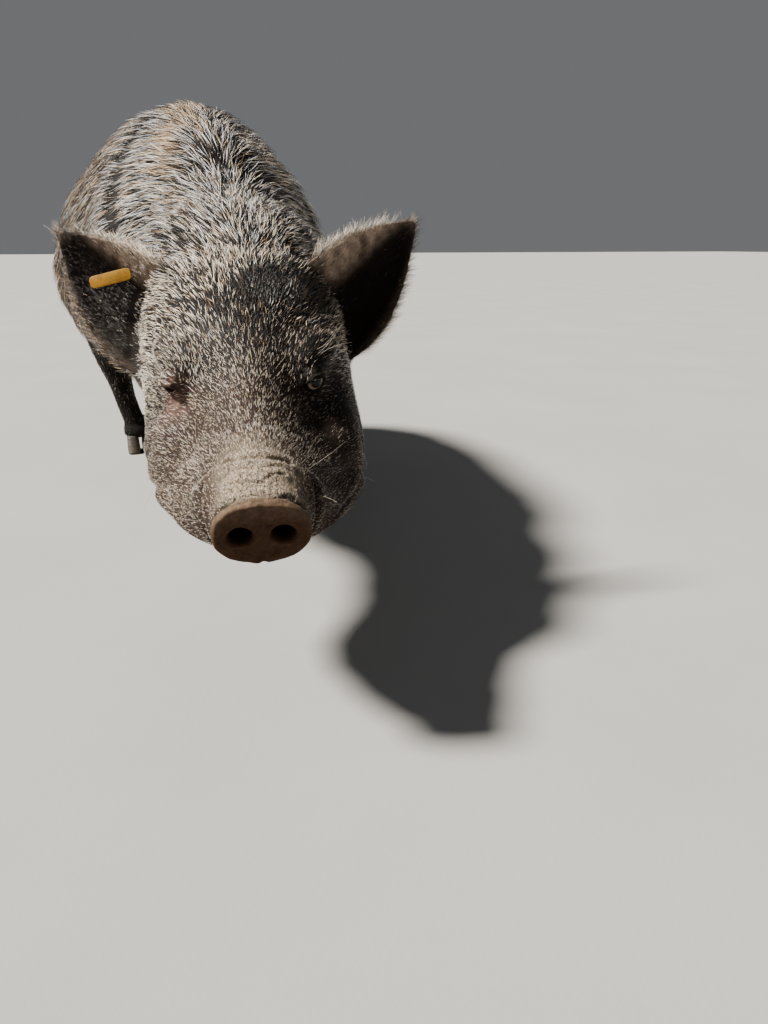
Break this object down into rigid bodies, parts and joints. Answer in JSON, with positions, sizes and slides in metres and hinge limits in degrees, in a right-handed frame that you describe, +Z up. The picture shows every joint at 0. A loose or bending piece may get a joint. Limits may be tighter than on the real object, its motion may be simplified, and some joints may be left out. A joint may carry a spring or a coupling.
{
  "type": "pig",
  "caption": "Life-size still model of a dark grey bristly pot-bellied pig, standing with its head lowered and stretched forward, ears held out, with a plain yellow ear tag",
  "frame": {"origin": "on the floor under the middle of the bounding box", "axes": "+Z up, the pig faces -Y, its left side is at +X"},
  "size_m": [0.3656, 1.0492, 0.5134],
  "materials": {
    "coat": "bristly hair over dark skin",
    "disc": "moist bare skin",
    "eye": "wet and clear",
    "hoof": "dull horn",
    "tag": "satin"
  },
  "bodies": {
    "root": {"ear_left": "coat", "ear_right": "coat", "eye_left": "eye", "eye_right": "eye", "foreleg_left_claw_inner": "hoof", "foreleg_left_claw_outer": "hoof", "foreleg_left_dewclaw_inner": "hoof", "foreleg_left_dewclaw_outer": "hoof", "foreleg_left_lower": "coat", "foreleg_left_upper": "coat", "foreleg_right_claw_inner": "hoof", "foreleg_right_claw_outer": "hoof", "foreleg_right_dewclaw_inner": "hoof", "foreleg_right_dewclaw_outer": "hoof", "foreleg_right_lower": "coat", "foreleg_right_upper": "coat", "head": "coat", "hindleg_left_claw_inner": "hoof", "hindleg_left_claw_outer": "hoof", "hindleg_left_dewclaw_inner": "hoof", "hindleg_left_dewclaw_outer": "hoof", "hindleg_left_lower": "coat", "hindleg_left_upper": "coat", "hindleg_right_claw_inner": "hoof", "hindleg_right_claw_outer": "hoof", "hindleg_right_dewclaw_inner": "hoof", "hindleg_right_dewclaw_outer": "hoof", "hindleg_right_lower": "coat", "hindleg_right_upper": "coat", "lower_jaw": "coat", "neck": "coat", "snout": "disc", "tag_bar": "tag", "tag_button": "tag", "tag_pin": "tag", "tail": "coat", "trunk": "coat"}
  },
  "joints": []
}
